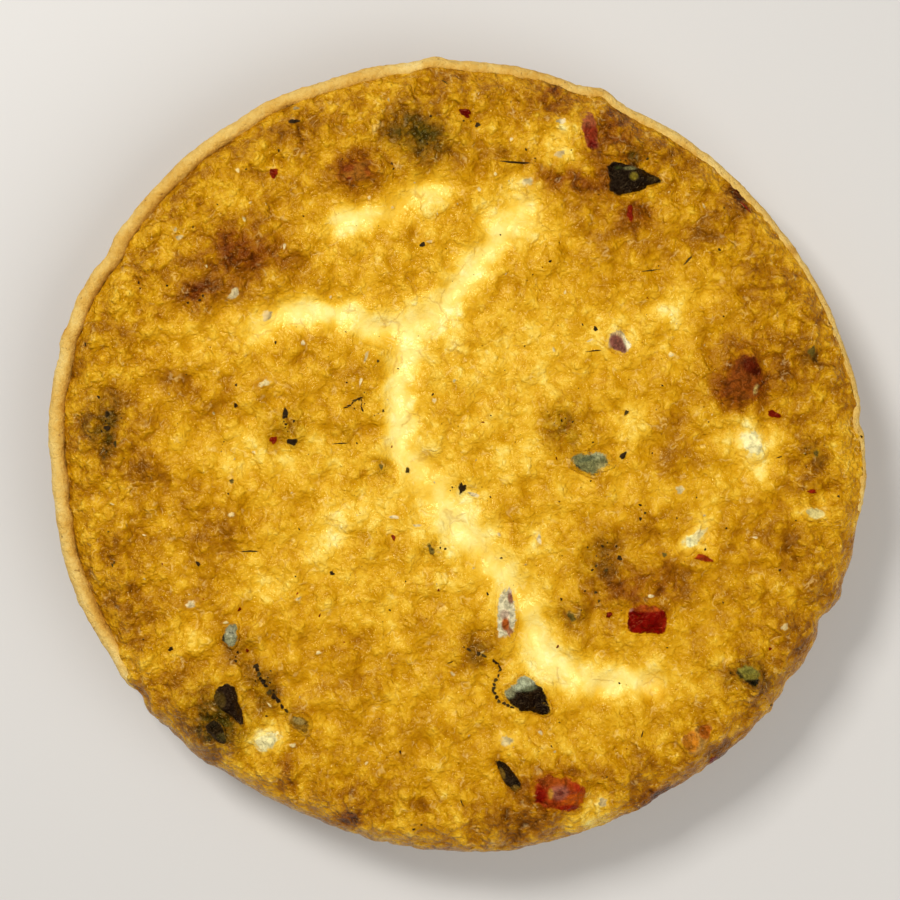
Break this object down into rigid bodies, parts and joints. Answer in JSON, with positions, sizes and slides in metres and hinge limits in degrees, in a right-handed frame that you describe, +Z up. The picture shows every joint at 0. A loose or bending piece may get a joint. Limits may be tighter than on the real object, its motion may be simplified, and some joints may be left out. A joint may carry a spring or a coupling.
{
  "type": "quiche",
  "caption": "Whole round baked quiche: leaning shortcrust wall, browned egg and cheese top that has run over one side of the rim, with pieces of tomato, ham, spinach and soft cheese.",
  "frame": {"origin": "on the surface that the quiche stands on, below the middle of its box", "axes": "+Z up out of the filling; +X along the quiche's slightly longer width; the filling has run over the rim from -X -Y round to +X"},
  "size_m": [0.2403, 0.2347, 0.0354],
  "materials": {
    "crust": "baked shortcrust pastry, dry and pale gold with darker rubbed spots",
    "filling": "baked egg and cheese, moist and crumbly, gold with browned patches and pale hollows",
    "tomato": "roasted tomato, deep red, wet and glossy",
    "pepper": "roasted pepper, orange-brown, wet",
    "ham": "cooked ham, pink-brown, moist",
    "bacon": "browned bacon, dark red-brown, moist",
    "cheese": "soft cheese, pale yellow, half melted",
    "leaf": "cooked spinach, near-black green with a damp sheen"
  },
  "bodies": {
    "root": {"crust": "crust", "filling": "filling", "tomato_a": "tomato", "tomato_b": "tomato", "pepper": "pepper", "ham_a": "ham", "ham_b": "ham", "ham_c": "ham", "bacon_a": "bacon", "bacon_b": "bacon", "cheese_a": "cheese", "cheese_b": "cheese", "cheese_c": "cheese", "cheese_d": "cheese", "leaf_a": "leaf", "leaf_b": "leaf", "leaf_c": "leaf", "leaf_d": "leaf", "leaf_e": "leaf", "leaf_f": "leaf", "leaf_g": "leaf", "leaf_h": "leaf", "leaf_i": "leaf"}
  },
  "joints": []
}
